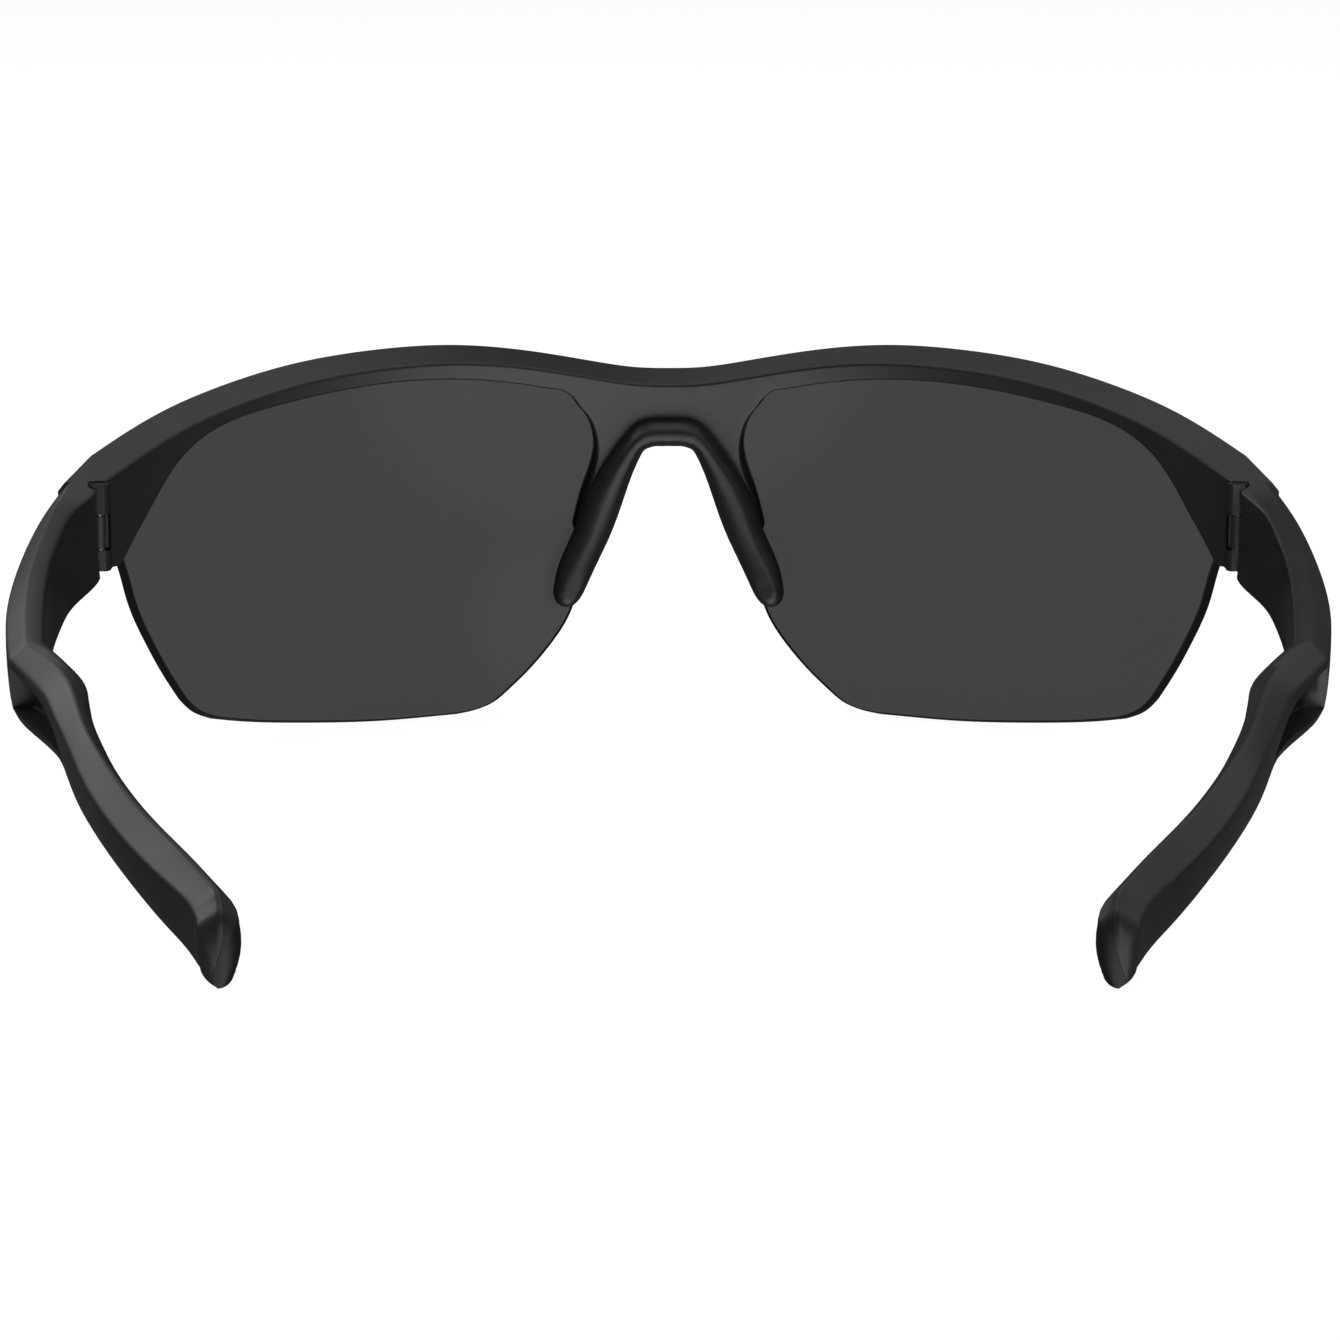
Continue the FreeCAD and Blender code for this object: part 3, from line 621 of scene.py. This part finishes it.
def crowned_pad(point):
    """Crown the wearer's side of the nose pad, so that its sides fall away from a ridge."""
    ray = point - CENTRE
    reach = np.linalg.norm(ray)
    place = ray[[0, 2]] * OUTLINE_RADIUS / reach
    from_inside = np.min(np.linalg.norm(PAD_INNER_LINE - place, axis=1))
    from_outside = np.min(np.linalg.norm(PAD_OUTER_LINE - place, axis=1))
    share = from_inside / (from_inside + from_outside)
    above_foot = np.clip((place[1] - PAD_CROWN_FOOT) / PAD_CROWN_FADE, 0, 1)
    fall = PAD_CROWN * above_foot * (1 - 4 * share * (1 - share))
    fall *= (PAD_OUTER - reach) / (PAD_OUTER - PAD_INNER)
    return CENTRE + ray * (reach + fall) / reach


def front_edge():
    """The whole closed outline of the front frame."""
    return outline(both_halves([BROW_TOP, LUG_FOOT, RIM_SIDE, RIM_CORNER, RIM_NOSE, ARM_TIP,
                                ARM_INSIDE]))


def make_front():
    """Brow, bridge, lugs and nose arms."""
    skin = plate("front_skin", front_edge(), FRAME_OUTER, FRAME_INNER, 0.3, 0.35, 1.6,
                 shape=crowned_brow)
    tools = [block("behind_lugs", (-95, LUG_END_Y, -5), (95, 70, 80))]
    lower = [np.array([x, y, z]) for y, x, z in (LUG_TRIM[k][0] for k in LUG_TRIM)]
    upper = [np.array([x, y, z]) for y, x, z in (LUG_TRIM[k][1] for k in LUG_TRIM)]
    for corners in (lower, upper):
        y = corners[0][1]
        corners += [np.array([78.0, y, 18.0]), np.array([78.0, y, 42.0]),
                    np.array([corners[0][0], y, 42.0])]
    trim = prism("lug_trim", lower, upper)
    tools += [mirrored(trim, "right_lug_trim"), trim]
    combine(skin, tools, "DIFFERENCE")
    barrel = post("lug_post", BARREL_RADIUS, BARREL_Z[0], BARREL_Z[1])
    web = block("lug_web", (HINGE[0] - BARREL_RADIUS, LUG_END_Y - WEB_OVERLAP, BARREL_Z[0]),
                (HINGE[0] + BARREL_RADIUS, HINGE[1], BARREL_Z[1]))
    combine(skin, [mirrored(barrel, "right_post"), mirrored(web, "right_web"), barrel, web],
            "UNION")
    slot = post("tongue_slot", RECESS_RADIUS, TONGUE_Z[0] - KNUCKLE_GAP, TONGUE_Z[1] + KNUCKLE_GAP)
    bore = post("screw_bore", SCREW_BORE_RADIUS, BARREL_Z[0] - 1, SCREW_BORE_TOP_Z)
    recess = post("head_recess", HEAD_RECESS_RADIUS, BARREL_Z[0] - 1, HEAD_RECESS_TOP_Z)
    face = block("lug_face", (HINGE[0] - 1.3, LUG_FACE_Y, BARREL_Z[0] - 1),
                 (HINGE[0] + 1.3, HINGE[1] + 1.3, BARREL_Z[1] + 1))
    openings = [slot, bore, recess, face]
    combine(skin, [mirrored(tool, "right_" + tool.name) for tool in openings] + openings,
            "DIFFERENCE")
    tidy(skin, 38.0)
    weighted_normals(skin)
    return skin


# ---------------------------------------------------------------- materials
def material(name):
    """An empty node material with its shader."""
    made = bpy.data.materials.new(name)
    made.use_nodes = True
    return made, made.node_tree.nodes, made.node_tree.links, made.node_tree.nodes["Principled BSDF"]


def noise(nodes, links, scale, detail=3.0, rough=0.5):
    """Fine three-dimensional noise that stays on the piece."""
    place = nodes.new("ShaderNodeTexCoord")
    made = nodes.new("ShaderNodeTexNoise")
    made.inputs["Scale"].default_value = scale
    made.inputs["Detail"].default_value = detail
    made.inputs["Roughness"].default_value = rough
    links.new(place.outputs["Object"], made.inputs["Vector"])
    return made


def ramp(nodes, links, source, low, high):
    """Map a 0 to 1 value onto two colours."""
    made = nodes.new("ShaderNodeValToRGB")
    made.color_ramp.elements[0].position = 0.3
    made.color_ramp.elements[1].position = 0.7
    made.color_ramp.elements[0].color = low
    made.color_ramp.elements[1].color = high
    links.new(source, made.inputs["Fac"])
    return made


def grey(value, blue=1.0):
    """A grey colour, with its blue scaled."""
    return (value, value, value * blue, 1.0)


def moulded(name, colour, spread, roughness, grain_scale, grain_height, edge_lightening_share):
    """Moulded plastic or rubber: clouded colour, fine grain and a lighter colour on sharp convex
    edges.
    """
    made, nodes, links, shader = material(name)
    clouds = noise(nodes, links, 140.0, 2.0)
    tone = ramp(nodes, links, clouds.outputs["Fac"], grey(colour - spread, 1.03),
                grey(colour + spread, 1.03))
    # The colour is mixed towards a lighter grey on sharp convex edges, found by pointiness.
    edges = nodes.new("ShaderNodeNewGeometry")
    edge_lightening = nodes.new("ShaderNodeMapRange")
    edge_lightening.inputs["From Min"].default_value = 0.52
    edge_lightening.inputs["From Max"].default_value = 0.62
    edge_lightening.inputs["To Max"].default_value = edge_lightening_share
    links.new(edges.outputs["Pointiness"], edge_lightening.inputs["Value"])
    mix = nodes.new("ShaderNodeMix")
    mix.data_type = "RGBA"
    links.new(edge_lightening.outputs["Result"], mix.inputs["Factor"])
    links.new(tone.outputs["Color"], mix.inputs["A"])
    mix.inputs["B"].default_value = grey(colour * 2.2)
    links.new(mix.outputs["Result"], shader.inputs["Base Color"])
    patches = noise(nodes, links, 60.0, 2.0)
    rough = nodes.new("ShaderNodeMapRange")
    rough.inputs["To Min"].default_value = roughness - 0.05
    rough.inputs["To Max"].default_value = roughness + 0.05
    links.new(patches.outputs["Fac"], rough.inputs["Value"])
    links.new(rough.outputs["Result"], shader.inputs["Roughness"])
    grain = noise(nodes, links, grain_scale, 2.0, 0.6)
    bump = nodes.new("ShaderNodeBump")
    bump.inputs["Strength"].default_value = 0.5
    bump.inputs["Distance"].default_value = grain_height
    links.new(grain.outputs["Fac"], bump.inputs["Height"])
    links.new(bump.outputs["Normal"], shader.inputs["Normal"])
    return made


def lens_material():
    """Dark polished polycarbonate that lets a little light through."""
    made, nodes, links, shader = material("smoke_lens_finish")
    clouds = noise(nodes, links, 25.0, 2.0)
    tone = ramp(nodes, links, clouds.outputs["Fac"], grey(0.010), grey(0.013))
    links.new(tone.outputs["Color"], shader.inputs["Base Color"])
    smear = noise(nodes, links, 45.0, 3.0)
    rough = nodes.new("ShaderNodeMapRange")
    rough.inputs["To Min"].default_value = 0.12
    rough.inputs["To Max"].default_value = 0.20
    links.new(smear.outputs["Fac"], rough.inputs["Value"])
    links.new(rough.outputs["Result"], shader.inputs["Roughness"])
    shader.inputs["Specular IOR Level"].default_value = 0.08
    place = nodes.new("ShaderNodeTexCoord")
    depth = nodes.new("ShaderNodeVectorMath")
    depth.operation = "DISTANCE"
    depth.inputs[1].default_value = tuple(CENTRE * MM)
    links.new(place.outputs["Object"], depth.inputs[0])
    wall = nodes.new("ShaderNodeMath")
    wall.operation = "COMPARE"
    wall.inputs[1].default_value = (LENS_OUTER + LENS_INNER) / 2 * MM
    wall.inputs[2].default_value = ((LENS_OUTER - LENS_INNER) / 2 - 0.06) * MM
    links.new(depth.outputs["Value"], wall.inputs[0])
    solid = nodes.new("ShaderNodeMapRange")
    solid.inputs["To Min"].default_value = 0.78
    solid.inputs["To Max"].default_value = 1.0
    links.new(wall.outputs["Value"], solid.inputs["Value"])
    links.new(solid.outputs["Result"], shader.inputs["Alpha"])
    return made


def metal(name, colour, roughness):
    """Turned metal with fine marks."""
    made, nodes, links, shader = material(name)
    marks = noise(nodes, links, 9000.0, 2.0)
    tone = ramp(nodes, links, marks.outputs["Fac"], [c * 0.85 for c in colour[:3]] + [1.0], colour)
    links.new(tone.outputs["Color"], shader.inputs["Base Color"])
    shader.inputs["Metallic"].default_value = 1.0
    rough = nodes.new("ShaderNodeMapRange")
    rough.inputs["To Min"].default_value = roughness - 0.08
    rough.inputs["To Max"].default_value = roughness + 0.08
    links.new(marks.outputs["Fac"], rough.inputs["Value"])
    links.new(rough.outputs["Result"], shader.inputs["Roughness"])
    return made


NYLON = moulded("black_nylon", colour=0.020, spread=0.0025, roughness=0.36,
                grain_scale=5200.0, grain_height=0.00002, edge_lightening_share=0.25)
RUBBER = moulded("soft_rubber", colour=0.017, spread=0.002, roughness=0.38,
                 grain_scale=3800.0, grain_height=0.00002, edge_lightening_share=0.1)
# The grips are the same soft rubber as the nose pad, painted much darker: painted shade for the
# inner side of the temples, away from the lights.
SHADED_GRIP_RUBBER = moulded("grip_rubber_painted_shade", colour=0.003, spread=0.0006, roughness=0.5,
                      grain_scale=3800.0, grain_height=0.00002, edge_lightening_share=0.1)
LENS = lens_material()
STEEL = metal("screw_steel_finish", (0.55, 0.55, 0.57, 1.0), 0.35)
BRASS = metal("insert_brass_finish", (0.72, 0.55, 0.25, 1.0), 0.35)
CORE = metal("core_strip_finish", (0.6, 0.6, 0.62, 1.0), 0.4)


def dress(obj, finish, body, slot, *nodes):
    """Give a piece its material, its body and the nodes it stands for. Its record slot is not used.
    """
    obj.data.materials.clear()
    obj.data.materials.append(finish)
    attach(obj, body)
    if nodes:
        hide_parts(*nodes)


# ---------------------------------------------------------------- pieces
dress(make_front(), NYLON, "front", "frame_nylon", "front_frame")

lens_edge = outline([LENS_SIDE, LENS_FOOT_CORNER, LENS_FOOT, LENS_NOSE_CORNER, LENS_NOSE,
                     LENS_TOP_CORNER, LENS_TOP])
left_lens = plate("left_lens_skin", lens_edge, LENS_OUTER, LENS_INNER, 0.3, 0.3, 2.0)
rebate = plate("rebate", grown(front_edge(), LENS_REBATE), LENS_INNER + REBATE_DEPTH,
               LENS_INNER - 0.8, 0.05, 0.05, 1.6, steps=1)
combine(left_lens, [rebate], "DIFFERENCE")
tidy(left_lens, 38.0)
weighted_normals(left_lens)
dress(mirrored(left_lens, "right_lens_skin"), LENS, "front", "smoke_lens", "right_lens")
dress(left_lens, LENS, "front", "smoke_lens", "left_lens")

pad_edge = outline(both_halves([PAD_INSIDE, PAD_FOOT, PAD_OUTSIDE]), 0.35)
pad = plate("nose_pad_skin", pad_edge, PAD_OUTER, PAD_INNER, 0.3, 1.1, 0.6,
            shape=crowned_pad, steps=7)
dress(pad, RUBBER, "front", "soft_rubber", "nose_pad")

left_arm = make_temple()
dress(mirrored(left_arm, "right_arm_skin"), NYLON, "right_arm", "frame_nylon", "right_temple")
dress(left_arm, NYLON, "left_arm", "frame_nylon", "left_temple")
left_grip = make_grip()
# The grips take the soft rubber darkened with painted shade.
dress(mirrored(left_grip, "right_grip_skin"), SHADED_GRIP_RUBBER, "right_arm", "soft_rubber",
      "right_temple_grip")
dress(left_grip, SHADED_GRIP_RUBBER, "left_arm", "soft_rubber", "left_temple_grip")

for node, finish in (("left_hinge_screw", STEEL), ("left_hinge_insert", BRASS),
                     ("right_hinge_screw", STEEL), ("right_hinge_insert", BRASS),
                     ("nose_pad_core", CORE)):
    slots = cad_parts[node].data.materials
    slots.clear()
    slots.append(finish)


# ---------------------------------------------------------------- studio
CAMERA_PLACE = (0.0, 0.5307, 0.11655)
CAMERA_DROP = 10.58
CAMERA_LENS = 134.05
CAMERA_SHIFT = 0.00112
LIGHT_AIM = (0.0, 0.0, 0.03)
FLOOR_HALF_SIDE = 6.0
FLOOR_GLOW = 0.95
WORLD_GLOW = 0.07


def soft_light(name, azimuth, elevation, spread, radiance, distance=1.0):
    """A round soft light aimed at the glasses. spread is the half angle it fills from there.

    Azimuth turns from +Y towards +X, and angles are in degrees."""
    radius = distance * math.tan(math.radians(spread))
    data = bpy.data.lights.new(name, "AREA")
    data.shape = "DISK"
    data.size = 2 * radius
    data.energy = radiance * math.pi * math.pi * radius * radius
    light = bpy.data.objects.new(name, data)
    turn, climb = math.radians(azimuth), math.radians(elevation)
    aim = Vector((math.sin(turn) * math.cos(climb), math.cos(turn) * math.cos(climb),
                  math.sin(climb)))
    light.location = Vector(LIGHT_AIM) + aim * distance
    light.rotation_euler = aim.to_track_quat("Z", "Y").to_euler()
    bpy.context.scene.collection.objects.link(light)


def make_floor():
    """A wide pale floor that glows, and casts nothing on the glasses."""
    made, nodes, links, shader = material("pale_floor")
    clouds = noise(nodes, links, 3.0, 2.0)
    tone = ramp(nodes, links, clouds.outputs["Fac"], grey(0.20), grey(0.22))
    links.new(tone.outputs["Color"], shader.inputs["Base Color"])
    shader.inputs["Roughness"].default_value = 0.9
    shader.inputs["Specular IOR Level"].default_value = 0.0
    shader.inputs["Emission Color"].default_value = (1.0, 1.0, 1.0, 1.0)
    shader.inputs["Emission Strength"].default_value = FLOOR_GLOW
    side = FLOOR_HALF_SIDE
    mesh = bpy.data.meshes.new("floor")
    mesh.from_pydata([(-side, -side, 0), (side, -side, 0), (side, side, 0), (-side, side, 0)],
                     [], [(0, 1, 2, 3)])
    mesh.materials.append(made)
    floor = bpy.data.objects.new("floor", mesh)
    floor.location.z = cad_box[0][2]
    bpy.context.scene.collection.objects.link(floor)
    floor.visible_diffuse = False
    floor.visible_glossy = False
    floor.visible_shadow = False


make_floor()
world = bpy.data.worlds.new("studio")
world.use_nodes = True
world.node_tree.nodes["Background"].inputs["Color"].default_value = (1.0, 1.0, 1.0, 1.0)
world.node_tree.nodes["Background"].inputs["Strength"].default_value = WORLD_GLOW
bpy.context.scene.world = world
soft_light("key", azimuth=99, elevation=38, spread=14, radiance=2.1)
soft_light("rear_key", azimuth=137, elevation=24, spread=14, radiance=0.85)
soft_light("left_top", azimuth=115, elevation=58, spread=42, radiance=0.45)
soft_light("right_top", azimuth=-100, elevation=56, spread=42, radiance=0.45)
soft_light("bounce", azimuth=-10, elevation=-42, spread=36, radiance=1.7, distance=0.7)
soft_light("front", azimuth=-18, elevation=8, spread=12, radiance=1.6)

camera_data = bpy.data.cameras.new("camera")
camera_data.sensor_width = 36.0
camera_data.lens = CAMERA_LENS
camera_data.shift_x = CAMERA_SHIFT
camera_data.clip_start = 0.01
camera_data.clip_end = 30.0
camera = bpy.data.objects.new("camera", camera_data)
camera.location = CAMERA_PLACE
camera.rotation_euler = (math.radians(90.0 - CAMERA_DROP), 0.0, math.pi)
bpy.context.scene.collection.objects.link(camera)
bpy.context.scene.camera = camera
bpy.context.scene.view_settings.view_transform = "Standard"
